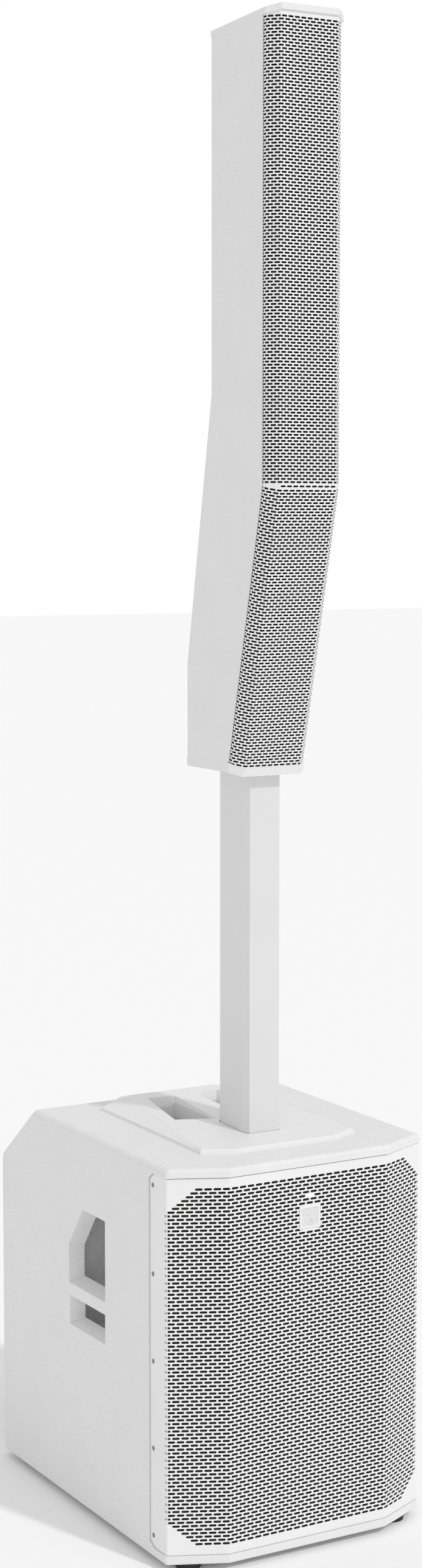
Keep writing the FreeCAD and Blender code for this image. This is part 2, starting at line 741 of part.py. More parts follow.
def pole_socket():
    """Sleeve that the pole stands in, with a flange under the cabinet's top."""
    made = body("pole_socket")
    wall = [(-34, -152), (34, -152), (34, -63.8), (-34, -63.8)]
    pad(made, polygon_sketch(made, "XY_Plane", [wall], 430), Z_HIGH - 430)
    flange = [(-58, -152), (58, -152), (58, -68), (-58, -68)]
    pad(made, polygon_sketch(made, "XY_Plane", [flange], Z_HIGH - BOARD), 5, reverse=True)
    pocket(made, polygon_sketch(made, "XY_Plane", [pole_outline(RUN)], Z_HIGH + 1), Z_HIGH - POLE_LOW + 1)
    contact_holes(made, POLE_LOW, 6, 1.5)
    return made


CONTACTS = [(x, y) for x in (-9, 0, 9) for y in (-112, -101)]
PIN_GAP = 0.3


def contact_pins(label, low, high):
    """Six contact pins in two rows."""
    return group(label, [rod("z", (x, y, low), size(high) - low, 1.5) for x, y in CONTACTS])


def contact_holes(made, sketch_height, depth, radius):
    """Holes for the six contacts, cut downwards from a height."""
    holes = new_sketch(made, "XY_Plane", sketch_height)
    for x, y in CONTACTS:
        add_circle(holes, x, y, radius)
    pocket(made, holes, depth)


# ---------------------------------------------------------------- rear panel

KNOB_PLACES = {"level_knob_1": (-75, 285), "level_knob_2": (-25, 285)}
ENCODER = (60, 292)
SOCKET_PLACES = ((-75, 225), (-25, 225))
OUTPUT = (75, 225)
INLET = (-60, 112)
ROCKER = (-30, 112)
PANEL_SCREWS = [(x, z) for x in (-121, 121) for z in (80, 184, 286, 390)] + [(0, 80), (0, 390)]
LATCH_SLOT = (3.8, 9.5, 14.3)   # half width, bottom and top above the socket's axis
BOARD_X = (-100, -4)
BOARD_Y = 178
# Larger components as (left, bottom, width, depth, height)
POWER_BLOCKS = ((-90, 110, 34, 30, 40), (-50, 115, 22, 26, 30), (-90, 165, 20, 22, 50),
                (-40, 165, 28, 18, 40))
AMPLIFIER_BLOCKS = ((-92, 250, 24, 20, 24), (-60, 255, 40, 8, 40), (-92, 310, 70, 12, 30))


def amp_mounting_frame():
    """Wooden frame glued behind the cabinet's rear opening."""
    ring = box((-147, 147), (Y_WALL - BOARD, Y_WALL), (55, 415))
    pilots = [rod("y", (x, Y_WALL - 16, z), 20, 1.8) for x, z in PANEL_SCREWS]
    return cut("amp_mounting_frame", ring, [box((-112, 112), (200, 260), (84, 386))] + pilots)


def latch_slot(at):
    """Slot that an input's latch tab moves in."""
    x, z = at
    half, low, high = LATCH_SLOT
    return box((x - half, x + half), (Y_WALL - 6, 262), (z + low, z + high))


def amp_panel():
    """Rear panel with its cut-outs."""
    half = PANEL_W / 2
    plate = box((-half, half), (Y_WALL, Y_WALL + PANEL_T), (PANEL_LOW, PANEL_HIGH))
    y = Y_WALL - 1
    holes = [rod("y", (x, y, z), 6, 4) for x, z in KNOB_PLACES.values()]
    holes.append(rod("y", (ENCODER[0], y, ENCODER[1]), 6, 4))
    holes += [rod("y", (x, y, z), 6, 12) for x, z in SOCKET_PLACES + (OUTPUT,)]
    holes.append(box((-34, 34), (y, Y_REAR), (334, 372)))
    holes += [latch_slot(at) for at in SOCKET_PLACES]
    holes += [rod("y", (x, y, z), 6, 1.8) for x, z in PANEL_SCREWS]
    holes.append(box((INLET[0] - 14, ROCKER[0] + 8), (y, Y_REAR), (INLET[1] - 10.5, INLET[1] + 10.5)))
    return cut("amp_panel", plate, holes)


def amp_chassis():
    """Open metal tray behind the rear panel."""
    outer = box((-106, 106), (172, Y_WALL), (88, 382))
    inner = box((-104, 104), (174, 260), (90, 380))
    return cut("amp_chassis", outer, [inner])


def heat_sink():
    """Finned block on the floor of the chassis."""
    made = body("heat_sink")
    fins = [(10, 174), (90, 174)]
    for i in range(8):
        right = 90 - i * 11.143
        fins += [(right, 200), (right - 2, 200)]
        if i < 7:
            fins += [(right - 2, 179), (right - 11.143, 179)]
    pad(made, polygon_sketch(made, "XY_Plane", [fins], 150), 200)
    return made


def circuit_board(label, x, y, z, blocks):
    """A board with its larger components, which stand off it towards +Y."""
    board = box(x, (y, y + 1.6), z)
    chips = [box((bx, bx + bw), (y + 1.6, y + 1.6 + bd), (bz, bz + bh)) for bx, bz, bw, bd, bh in blocks]
    return fuse(label, [board] + chips)


def round_socket(at, depth):
    """A panel socket with a square flange and a round mouth."""
    x, z = at
    flange = box((x - 13, x + 13), (Y_WALL + PANEL_T, Y_WALL + PANEL_T + 1.6), (z - 15.5, z + 15.5))
    barrel = rod("y", (x, Y_WALL - depth, z), depth + PANEL_T, 11.7)
    mouth = rod("y", (x, Y_WALL - depth + 4, z), 60, 9.4)
    return flange, barrel, mouth


def input_sockets():
    """Two combined microphone and jack inputs, each with a slot for its latch."""
    made = []
    for at in SOCKET_PLACES:
        flange, barrel, mouth = round_socket(at, 24)
        x, z = at
        lower = cut("Socket", fuse("Socket", [flange, barrel]), [mouth, latch_slot(at)])
        insert = fuse("Insert", [rod("y", (x, Y_WALL - 20, z), 17, 5.5)])
        made.append(fuse("Input", [lower, cut("Insert", insert, [rod("y", (x, Y_WALL - 19, z), 30, 3.3)])]))
    return group("input_sockets", made)


def output_socket():
    """Output with three pins."""
    flange, barrel, mouth = round_socket(OUTPUT, 20)
    shell = cut("Socket", fuse("Socket", [flange, barrel]), [mouth])
    pins = []
    for degrees in (90, 210, 330):
        angle = math.radians(degrees)
        pins.append(rod("y", (OUTPUT[0] + 4 * math.cos(angle), Y_WALL - 17, OUTPUT[1] + 4 * math.sin(angle)),
                        13, 1.2))
    return fuse("output_socket", [shell] + pins)


def mains_inlet():
    """Mains inlet and the switch's well, moulded as one, with three blades."""
    x, z = INLET
    y = Y_WALL + PANEL_T
    flange = box((x - 20, ROCKER[0] + 11), (y, y + 1.6), (z - 13.5, z + 13.5))
    shell = box((x - 13.8, ROCKER[0] + 7.8), (y - 26, y), (z - 10.3, z + 10.3))
    recess = box((x - 12, x + 12), (y - 24, y + 5), (z - 8.2, z + 8.2))
    well = box((ROCKER[0] - 6.4, ROCKER[0] + 6.4), (y - 12, y + 5), (z - 9.6, z + 9.6))
    blades = [box((x + dx - 1, x + dx + 1), (y - 24, y - 8), (z + dz - 3, z + dz + 3))
              for dx, dz in ((-7, -1.5), (0, 2.5), (7, -1.5))]
    return fuse("mains_inlet", [cut("Inlet", fuse("Shell", [flange, shell]), [recess, well])] + blades)


def display_window():
    """Display's clear window."""
    made = body("display_window")
    outline = [(-33.5, 334.5), (33.5, 334.5), (33.5, 371.5), (-33.5, 371.5)]
    pad(made, polygon_sketch(made, "XZ_Plane", [outline], -Y_WALL), PANEL_T + 0.6, reverse=True)
    return made


def panel_screws():
    """Ten round-headed screws round the rear panel."""
    made = []
    y = Y_WALL + PANEL_T
    for x, z in PANEL_SCREWS:
        made.append(fuse("Screw", [rod("y", (x, y, z), 2.2, 4, 3), rod("y", (x, y - 16, z), 16, 1.8)]))
    return group("panel_screws", made)


def knob(label, at, radius, height, shaft_radius, base=0):
    """A knob with a grip that tapers, a pointer groove and a blind hole for its shaft."""
    x, z = at
    y = Y_WALL + PANEL_T + 1.2 + base
    grip = rod("y", (x, y, z), height, radius, radius - 1)
    groove = box((x - 0.6, x + 0.6), (y + height - 0.8, y + height + 1), (z + 2, z + radius + 1))
    hole = rod("y", (x, y - 1, z), height - 2, shaft_radius)
    return cut(label, grip, [groove, hole])


def pot_shafts():
    """Level controls' bushes, fixed to the panel, which the knobs turn on."""
    made = []
    for x, z in KNOB_PLACES.values():
        made.append(fuse("Pot", [rod("y", (x, Y_WALL - 12, z), 12, 8), rod("y", (x, Y_WALL, z), 9, 2.95)]))
    x, z = ENCODER
    case = rod("y", (x, Y_WALL - 14, z), 14, 8)
    made.append(cut("Encoder", case, [rod("y", (x, Y_WALL - 11, z), 20, 3.05)]))
    return group("control_bushes", made)


def encoder_shaft():
    """Encoder's shaft, which its knob turns on and pushes in."""
    x, z = ENCODER
    return fuse("encoder_shaft", [rod("y", (x, Y_WALL - 9.5, z), 21.5, 3)])


ROCKER_TILT = 8


def power_rocker():
    """Mains switch's rocker, a shallow V that tilts about its middle, drawn switched to one side."""
    made = body("power_rocker")
    side = [(4.6, 8.6), (3, 0), (4.6, -8.6), (0.6, -8.4), (-5, -2), (-5, 2), (0.6, 8.4)]
    pad(made, polygon_sketch(made, "YZ_Plane", [side]), 12, middle=True)
    made.Placement = FreeCAD.Placement(Vector(), FreeCAD.Rotation(Vector(1, 0, 0), ROCKER_TILT))
    for axis, value in (("x", ROCKER[0]), ("y", Y_WALL + 1), ("z", ROCKER[1])):
        bind(made, f"Placement.Base.{axis}", value)
    return made


def input_latch(number):
    """Sprung latch tab of one input."""
    x, z = SOCKET_PLACES[number - 1]
    y = Y_WALL + PANEL_T
    half, low, high = LATCH_SLOT
    tab = box((x - half + 0.3, x + half - 0.3), (y - 2, y + 3.2), (z + low + 0.4, z + high - 0.4))
    return fuse(f"input_latch_{number}", [tab])


def rubber_feet():
    """Four rubber feet, each with a recess for its screw."""
    made = []
    for x in (-1, 1):
        for y in (-1, 1):
            at = ((X_SIDE - 38) * x, (Y_REAR - 44) * y, 0)
            foot = rod("z", at, FOOT, 17, 18.5)
            made.append(cut("Foot", foot, [rod("z", (at[0], at[1], -1), 5, 6), rod("z", at, 12, 2.2)]))
    return group("rubber_feet", made)


# ---------------------------------------------------------------- pole

def pole_tube():
    """Aluminium tube with cut corners."""
    made = body("pole_tube")
    outer, inner = pole_outline(0), pole_outline(-POLE_WALL)
    pad(made, polygon_sketch(made, "XY_Plane", [outer, inner], POLE_LOW), POLE_HIGH - POLE_LOW)
    return made


def pole_plug(label, low, high):
    """Plastic plug inside one end of the tube, with six contact holes."""
    made = body(label)
    pad(made, polygon_sketch(made, "XY_Plane", [pole_outline(-POLE_WALL)], low), high - low)
    contact_holes(made, high, high - low, 2)
    return made


def pole_contacts():
    """Contact studs in the two plugs."""
    studs = []
    for x, y in CONTACTS:
        studs.append(rod("z", (x, y, POLE_LOW + 6), 30, 2))
        studs.append(rod("z", (x, y, POLE_HIGH - 36), 30, 2))
    return group("pole_contacts", studs)


def pole_wiring():
    """Cable loom between the two plugs."""
    return fuse("pole_wiring", [rod("z", (0, -106.5, POLE_LOW + 36), POLE_HIGH - POLE_LOW - 72, 5)])


# ---------------------------------------------------------------- column

def column_front(z):
    """Depth of the grille's front face at a height: upright above the kink, leaning back below."""
    return COL_FRONT + (COL_KINK - size(z)) * LEAN


PANEL_SET = 20.8   # from the grille's front back to the side panel's front edge
CAP_OVER = 2.7     # how far the top cap stands over the grille


def top_joint(y):
    """Height of the joint under the top cap at a depth behind its front corner."""
    return COL_TOP - 13.7 - (size(y) - COL_FRONT - PANEL_SET) * 0.0575


def column_housing():
    """Moulded housing: two sides and a rear wall, open at the front, the top and the bottom."""
    made = body("column_housing")
    panel = COL_FRONT + PANEL_SET
    low_front = column_front(COL_BOTTOM) + PANEL_SET
    outline = [(panel, COL_KINK), (panel, top_joint(panel)), (COL_REAR, top_joint(COL_REAR)),
               (COL_REAR, REAR_KINK_HIGH), (COL_REAR_LOW, REAR_KINK_LOW), (COL_REAR_LOW, COL_BOTTOM),
               (low_front, COL_BOTTOM)]
    pad(made, polygon_sketch(made, "YZ_Plane", [outline]), COL_W, middle=True)
    side = COL_X.value - 0.1
    rear = COL_REAR.value - 0.1
    round_edges(made, 2.2, lambda at, way: abs(at.x) > side and abs(way.z) > 0.5 and at.y > rear)
    round_edges(made, 1.4, lambda at, way: abs(at.x) > side and abs(way.z) > 0.5 and at.y < rear - 20)
    wall = 4
    hollow = [(panel - 60, COL_KINK), (panel - 60, COL_TOP + 20), (COL_REAR - wall, COL_TOP + 20),
              (COL_REAR - wall, REAR_KINK_HIGH - 1), (COL_REAR_LOW - wall, REAR_KINK_LOW - 1),
              (COL_REAR_LOW - wall, COL_BOTTOM - 20), (low_front - 60, COL_BOTTOM - 20)]
    pocket(made, polygon_sketch(made, "YZ_Plane", [hollow]), COL_W - SKIN * 2, middle=True)
    return made


def facet_cuts(front, back, overhang):
    """Plan of the two corners cut off a cap's front."""
    flat, side = COL_FLAT_X + overhang, COL_X + overhang
    clear = side + 30
    return [[(flat * way, front), (side * way, back), (clear * way, back), (clear * way, front - 30),
             (flat * way, front - 30)] for way in (-1, 1)]


def column_top_cap():
    """Top cap, which slopes down to the rear and steps up over the front."""
    made = body("column_top_cap")
    front = COL_FRONT - CAP_OVER
    corner = front + 15
    slab = 8.6
    outline = [(front, COL_TOP), (front, COL_TOP - slab), (corner, COL_TOP - 4.7 - slab),
               (COL_FRONT + PANEL_SET, top_joint(COL_FRONT + PANEL_SET)), (COL_REAR, top_joint(COL_REAR)),
               (COL_REAR, top_joint(COL_REAR) + 8.1), (corner, COL_TOP - 4.7)]
    pad(made, polygon_sketch(made, "YZ_Plane", [outline]), COL_W + 0.4, middle=True)
    pocket(made, polygon_sketch(made, "XY_Plane", facet_cuts(front, corner, 0.2), COL_TOP + 10), 60)
    top = COL_TOP.value - 22
    round_edges(made, 1.2, lambda at, way: at.z > top and (
        abs(at.z - COL_TOP.value) < 0.1 or (abs(way.z) < 0.4 and at.z > top_joint(at.y).value + 6)))
    return made


def column_bottom_cap():
    """Bottom cap with the opening for the pole."""
    made = body("column_bottom_cap")
    low = COL_BOTTOM - 17.5
    high = COL_BOTTOM - 6
    front_low = column_front(low)
    front_high = column_front(high)
    corner = front_low + 15
    outline = [(front_high, high), (front_high + 16, COL_BOTTOM), (COL_REAR_LOW, COL_BOTTOM),
               (COL_REAR_LOW, COL_BOTTOM - 9), (COL_REAR_LOW - 3, COL_BOTTOM - 12), (corner, low + 5.3),
               (front_low, low)]
    pad(made, polygon_sketch(made, "YZ_Plane", [outline]), COL_W + 0.4, middle=True)
    facets = facet_cuts(front_high, front_high + 16, 0.2)
    pocket(made, polygon_sketch(made, "XY_Plane", facets, COL_BOTTOM + 10), 60)
    pocket(made, polygon_sketch(made, "XY_Plane", [pole_outline(0.8)], COL_BOTTOM + 10), 60)
    return made


def column_socket():
    """Sleeve inside the column that slides over the pole's top."""
    made = body("column_socket")
    wall = [(-32, POLE_FRONT - 3.2), (32, POLE_FRONT - 3.2), (32, POLE_REAR + 3.4), (-32, POLE_REAR + 3.4)]
    pad(made, polygon_sketch(made, "XY_Plane", [wall], COL_BOTTOM), POLE_HIGH + 8 - COL_BOTTOM)
    flange = [(-46, POLE_FRONT + 4), (46, POLE_FRONT + 4), (46, POLE_REAR + 14), (-46, POLE_REAR + 14)]
    pad(made, polygon_sketch(made, "XY_Plane", [flange], COL_BOTTOM), 4)
    bore = polygon_sketch(made, "XY_Plane", [pole_outline(RUN)], COL_BOTTOM - 1)
    pocket(made, bore, POLE_HIGH + 1 - COL_BOTTOM, reverse=True)
    contact_holes(made, POLE_HIGH + 8, 8, 1.5)
    return made


def column_section(inset, thickness, depth, z):
    """Plan of the folded column grille, or of a sheet behind it, at one height."""
    front = column_front(z) if z.value < COL_KINK.value else COL_FRONT

    def line(offset):
        return [(GRILLE_X - offset, front + depth), (GRILLE_X - offset, front + 13.4 + size(offset) * 0.45),
                (COL_FLAT_X - size(offset) * 0.4, front + offset)]
    outer, inner = line(inset), line(inset + thickness)
    return outer + [(-x, y) for x, y in outer[::-1]] + [(-x, y) for x, y in inner] + inner[::-1]


def folded_column_sheet(label, inset, thickness, depth):
    """A sheet that follows the column's front over the kink, trimmed to the caps."""
    made = body(label)
    heights = (COL_BOTTOM - 8, COL_KINK, COL_TOP - 8.7)
    sections = [column_section(inset, thickness, depth, z) for z in heights]
    loft(made, [polygon_sketch(made, "XY_Plane", [section], z) for section, z in zip(sections, heights)])
    top, low = COL_TOP, COL_BOTTOM
    front_low = column_front(low - 6)
    corner = COL_FRONT - CAP_OVER + 15
    over = [(corner, top - 13.5), (COL_FRONT - CAP_OVER, top - 8.8), (COL_FRONT - CAP_OVER, top + 5),
            (COL_FRONT + 40, top + 5), (COL_FRONT + 40, top_joint(COL_FRONT + 40) - 0.2),
            (COL_FRONT + PANEL_SET, top_joint(COL_FRONT + PANEL_SET) - 0.2)]
    under = [(front_low - 4, low - 7), (front_low - 4, low - 20), (front_low + 60, low - 20),
             (front_low + 60, low + 0.2), (front_low + 16, low + 0.2), (front_low, low - 5.8)]
    pocket(made, polygon_sketch(made, "YZ_Plane", [over, under]), COL_W + 20, middle=True)
    return made


def column_grille():
    """Folded steel grille of the column: front, two angled corners and two returns."""
    return folded_column_sheet("column_grille", size(0), size(1.2), 30)


def column_grille_foam():
    """Black foam sheet behind the column's grille."""
    return folded_column_sheet("column_grille_foam", size(1.6), size(4), 17.5)


BAFFLE_SET = 19    # from the grille's front back to the drivers' board
STRETCH = 1.0269   # horizontal run of a unit measured square to the leaning front
DRIVERS_ABOVE = 5
DRIVERS_BELOW = 3
LOWER_START = 56


def driver_places():
    """Each driver's centre on the grille's front face, and its tilt in degrees."""
    places = []
    for i in range(DRIVERS_ABOVE):
        places.append((Vector(0, COL_FRONT.value, COL_KINK.value + 54 + i * DRIVER_PITCH.value), 0))
    tilt = math.atan(LEAN.value)
    for i in range(DRIVERS_BELOW):
        along = LOWER_START + i * (DRIVER_PITCH.value - 4)
        at = Vector(0, COL_FRONT.value + along * math.sin(tilt), COL_KINK.value - along * math.cos(tilt))
        places.append((at, math.degrees(tilt)))
    return places


def at_drivers(shape, places):
    """Copies of a shape, drawn about the Y axis, at the drivers' places."""
    copies = []
    for at, tilt in places:
        copy = shape.copy()
        copy.Placement = FreeCAD.Placement(at, FreeCAD.Rotation(Vector(1, 0, 0), tilt))
        copies.append(copy)
    return Part.makeCompound(copies)


def column_baffle():
    """Board that carries the eight small drivers, bent at the kink."""
    blank = body("column_baffle_blank")
    front = BAFFLE_SET
    back = BAFFLE_SET + 6
    low = POLE_HIGH - 14
    high = COL_TOP - 18
    bend = size(STRETCH - 1) / LEAN
    outline = [(COL_FRONT + front, COL_KINK + bend * front), (COL_FRONT + front, high),
               (COL_FRONT + back, high), (COL_FRONT + back, COL_KINK + bend * back),
               (column_front(low) + back * STRETCH, low),
               (column_front(low) + front * STRETCH, low)]
    pad(blank, polygon_sketch(blank, "YZ_Plane", [outline]), GRILLE_X * 2 - 3, middle=True)
    doc.recompute()
    holes = at_drivers(Part.makeCylinder(39.5, 60, Vector(0, -10, 0), Vector(0, 1, 0)), driver_places())
    return feature("column_baffle", blank.Shape.cut(holes))


def behind_baffle(outline):
    """Move an outline of (depth from the board's front, radius) points to its place behind the grille."""
    return [(BAFFLE_SET + depth, radius) for depth, radius in outline]


DRIVER_BASKET = behind_baffle(((-0.1, 45.5), (-3.1, 45.5), (-3.1, 38.3), (2.5, 38.3), (14, 25), (17, 25),
                               (17, 12), (19, 12), (19, 27), (13.5, 27), (2.5, 39.3), (-0.1, 39.3)))
DRIVER_CONE = behind_baffle(((-2.4, 37.6), (11, 12), (11, 8), (7, 8), (4, 0), (3.2, 0), (6, 8.6), (10, 12),
                             (-3.2, 37.6)))
DRIVER_MAGNET = behind_baffle(((19.1, 5), (19.1, 23.5), (35, 23.5), (35, 5)))


def driver_frames():
    """Eight driver baskets."""
    return feature("driver_frames", at_drivers(loose_turned(DRIVER_BASKET), driver_places()))


def driver_magnets():
    """Eight neodymium motors."""
    return feature("driver_magnets", at_drivers(loose_turned(DRIVER_MAGNET), driver_places()))


def driver_cones(label, places):
    """Cones of the upper or the lower drivers."""
    return feature(label, at_drivers(loose_turned(DRIVER_CONE), places))


def bracket_cover():
    """Raised cover of the bracket point on the column's rear."""
    made = body("bracket_cover")
    y = COL_REAR
    outline = [(y, 1658), (y + 6, 1674), (y + 6, 1712), (y, 1732)]
    pad(made, polygon_sketch(made, "YZ_Plane", [outline]), 84, middle=True)
    return made


# ---------------------------------------------------------------- build and write

def build_all():
    """Make every sub-part."""
    places = driver_places()
    for make in (sub_cabinet, baffle_board, cabinet_brace, port_tubes, sub_grille, sub_grille_foam,
                 grille_screws, badge_plate, status_lens, woofer_frame, woofer_surround, woofer_spider,
                 woofer_magnet, woofer_screws, woofer_cone, woofer_dust_cap, woofer_voice_coil, top_tray,
                 pole_socket, amp_mounting_frame, amp_panel, amp_chassis, heat_sink, input_sockets,
                 output_socket, mains_inlet, display_window, panel_screws, pot_shafts,
                 encoder_shaft, power_rocker, rubber_feet, pole_tube, pole_contacts, pole_wiring,
                 column_housing, column_top_cap, column_bottom_cap, column_socket, column_grille,
                 column_grille_foam, column_baffle, driver_frames, driver_magnets, bracket_cover):
        node(make())
    for side in ("left", "right"):
        node(handle_cup(side))
    node(contact_pins("socket_contacts", POLE_LOW - 6, POLE_LOW + 6 - PIN_GAP))
    node(contact_pins("column_contacts", POLE_HIGH - 6 + PIN_GAP, POLE_HIGH + 8))
    node(circuit_board("power_board", BOARD_X, BOARD_Y, (100, 230), POWER_BLOCKS))
    node(circuit_board("amplifier_board", BOARD_X, BOARD_Y, (240, 370), AMPLIFIER_BLOCKS))
    for name, at in KNOB_PLACES.items():
        node(knob(name, at, 8.5, 12, 3.0))
    node(knob("encoder_knob", ENCODER, 13, 12.5, 3.05, base=1.2))
    for number in (1, 2):
        node(input_latch(number))
    node(pole_plug("pole_lower_plug", POLE_LOW + 0.5, POLE_LOW + 36))
    node(pole_plug("pole_upper_plug", POLE_HIGH - 36, POLE_HIGH - 0.5))
    node(driver_cones("upper_driver_cones", places[:DRIVERS_ABOVE]))
    node(driver_cones("lower_driver_cones", places[DRIVERS_ABOVE:]))


def check_and_write():
    """Check every object, then write each sub-part's shape to its own file."""
    doc.recompute()
    bad = [thing.Label for thing in doc.Objects if "Invalid" in thing.State or "Error" in thing.State]
    if bad:
        raise RuntimeError(f"failed objects: {bad}")
    os.makedirs("parts", exist_ok=True)
    for made in nodes:
        if made.Shape.isNull() or not made.Shape.isValid():
            raise RuntimeError(f"{made.Label} has no valid shape")
    for made in nodes:
        made.Shape.exportStep(os.path.join("parts", f"{made.Label}.step"))
    print(len(nodes), "sub-parts written")


build_all()
check_and_write()
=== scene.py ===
"""Looks of a column loudspeaker system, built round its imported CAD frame. Lengths are in metres."""
import json
import math

import bmesh
import bpy
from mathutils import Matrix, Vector


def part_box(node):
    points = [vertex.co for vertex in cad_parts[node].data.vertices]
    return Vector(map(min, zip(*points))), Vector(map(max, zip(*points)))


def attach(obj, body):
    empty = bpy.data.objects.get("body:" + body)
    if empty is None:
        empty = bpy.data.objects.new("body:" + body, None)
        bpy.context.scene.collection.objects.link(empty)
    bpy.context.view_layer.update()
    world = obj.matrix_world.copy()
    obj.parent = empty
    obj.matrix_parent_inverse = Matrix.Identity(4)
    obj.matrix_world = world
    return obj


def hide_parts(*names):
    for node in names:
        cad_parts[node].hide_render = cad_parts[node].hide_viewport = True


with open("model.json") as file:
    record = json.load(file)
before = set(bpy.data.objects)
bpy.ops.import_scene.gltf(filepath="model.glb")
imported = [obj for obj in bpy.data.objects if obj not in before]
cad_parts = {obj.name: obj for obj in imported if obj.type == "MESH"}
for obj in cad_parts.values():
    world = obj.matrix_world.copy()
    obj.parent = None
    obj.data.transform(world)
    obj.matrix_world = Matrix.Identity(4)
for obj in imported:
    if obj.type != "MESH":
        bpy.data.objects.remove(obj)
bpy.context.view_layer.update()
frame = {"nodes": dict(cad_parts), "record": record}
nodes = frame["nodes"]
MM = 0.001


# ---------------------------------------------------------------- materials

def new_material(name, colour, roughness, metallic=0.0, coat=0.0, specular=0.5):
    """A material with one Principled shader; returns it with its node tree and shader."""
    made = bpy.data.materials.new(name)
    made.use_nodes = True
    tree = made.node_tree
    shader = tree.nodes["Principled BSDF"]
    shader.inputs["Base Color"].default_value = (*colour, 1)
    shader.inputs["Roughness"].default_value = roughness
    shader.inputs["Metallic"].default_value = metallic
    shader.inputs["Coat Weight"].default_value = coat
    shader.inputs["Specular IOR Level"].default_value = specular
    return made, tree, shader


def texture(tree, kind, scale, **settings):
    """A 3D texture in the object's own metres; scale is the size of its grain in millimetres."""
    place = tree.nodes.new("ShaderNodeTexCoord")
    made = tree.nodes.new(kind)
    made.inputs["Scale"].default_value = 1 / (scale * MM)
    for socket, value in settings.items():
        made.inputs[socket.replace("_", " ")].default_value = value
    tree.links.new(place.outputs["Object"], made.inputs["Vector"])
    return made


def ramp(tree, source, low, high, start=0.0, end=1.0):
    """Map a texture's value from start..end to low..high."""
    made = tree.nodes.new("ShaderNodeMapRange")
    for socket, value in (("From Min", start), ("From Max", end), ("To Min", low), ("To Max", high)):
        made.inputs[socket].default_value = value
    tree.links.new(source, made.inputs["Value"])
    return made.outputs["Result"]


def bump(tree, shader, height, depth, strength=1.0, under=None):
    """Add relief of a depth in millimetres; under is an earlier bump that it lies on."""
    made = tree.nodes.new("ShaderNodeBump")
    made.inputs["Distance"].default_value = depth * MM
    made.inputs["Strength"].default_value = strength
    tree.links.new(height, made.inputs["Height"])
    if under is not None:
        tree.links.new(under.outputs["Normal"], made.inputs["Normal"])
    tree.links.new(made.outputs["Normal"], shader.inputs["Normal"])
    return made


def vary(tree, shader, socket, source, low, high, start=0.3, end=0.7):
    """Drive a value of the shader by a texture."""
    tree.links.new(ramp(tree, source, low, high, start, end), shader.inputs[socket])


def vary_colour(tree, shader, source, dark, light, start=0.3, end=0.7):
    """Mix two colours by a texture."""
    mix = tree.nodes.new("ShaderNodeMix")
    mix.data_type = "RGBA"
    mix.inputs["A"].default_value = (*dark, 1)
    mix.inputs["B"].default_value = (*light, 1)
    tree.links.new(ramp(tree, source, 0, 1, start, end), mix.inputs["Factor"])
    tree.links.new(mix.outputs["Result"], shader.inputs["Base Color"])


def grey(value):
    """A neutral colour."""
    return (value, value, value)


def textured_paint(name, value, grain, depth, roughness):
    """Sprayed paint with an orange-peel relief."""
    made, tree, shader = new_material(name, grey(value), roughness)
    peel = texture(tree, "ShaderNodeTexNoise", grain, Detail=2.5, Roughness=0.5)
    blobs = texture(tree, "ShaderNodeTexNoise", grain * 2.2, Detail=1.0)
    first = bump(tree, shader, blobs.outputs["Fac"], depth * 1.5, 1.0)
    bump(tree, shader, peel.outputs["Fac"], depth, 1.0, first)
    vary(tree, shader, "Roughness", peel.outputs["Fac"], roughness - 0.08, roughness + 0.1)
    broad = texture(tree, "ShaderNodeTexNoise", 60, Detail=3.0)
    vary_colour(tree, shader, broad.outputs["Fac"], grey(value * 0.985), grey(value * 1.01))
    return made


def smooth_paint(name, value, roughness, grain=0.6, depth=0.02):
    """Powder coat: almost smooth, with a very fine relief."""
    made, tree, shader = new_material(name, grey(value), roughness, coat=0.08)
    fine = texture(tree, "ShaderNodeTexNoise", grain, Detail=2.0)
    bump(tree, shader, fine.outputs["Fac"], depth, 0.7)
    vary(tree, shader, "Roughness", fine.outputs["Fac"], roughness - 0.06, roughness + 0.08)
    broad = texture(tree, "ShaderNodeTexNoise", 80, Detail=2.0)
    vary_colour(tree, shader, broad.outputs["Fac"], grey(value * 0.985), grey(value * 1.01))
    return made


def dark_plastic(name, colour, roughness, grain=0.5, depth=0.03):
    """Moulded plastic with a spark-eroded finish."""
    made, tree, shader = new_material(name, colour, roughness)
    fine = texture(tree, "ShaderNodeTexNoise", grain, Detail=3.0, Roughness=0.6)
    bump(tree, shader, fine.outputs["Fac"], depth, 0.8)
    vary(tree, shader, "Roughness", fine.outputs["Fac"], roughness - 0.1, roughness + 0.1)
    lighter = tuple(min(1, c * 1.25 + 0.004) for c in colour)
    vary_colour(tree, shader, fine.outputs["Fac"], colour, lighter)
    return made


def metal(name, colour, roughness, grain=0.4):
    """Plated or bare metal with fine tool marks."""
    made, tree, shader = new_material(name, colour, roughness, metallic=1.0)
    fine = texture(tree, "ShaderNodeTexNoise", grain, Detail=4.0)
    vary(tree, shader, "Roughness", fine.outputs["Fac"], roughness - 0.1, roughness + 0.12)
    bump(tree, shader, fine.outputs["Fac"], 0.01, 0.5)
    return made


def foam_material():
    """Black open-cell acoustic foam."""
    made, tree, shader = new_material("acoustic_foam", grey(0.012), 0.95, specular=0.15)
    cells = texture(tree, "ShaderNodeTexVoronoi", 0.9)
    first = bump(tree, shader, cells.outputs["Distance"], 0.4, 1.0)
    lumps = texture(tree, "ShaderNodeTexNoise", 2.4, Detail=4.0)
    bump(tree, shader, lumps.outputs["Fac"], 0.4, 0.7, first)
    vary_colour(tree, shader, cells.outputs["Distance"], grey(0.006), grey(0.03), 0, 0.8)
    return made


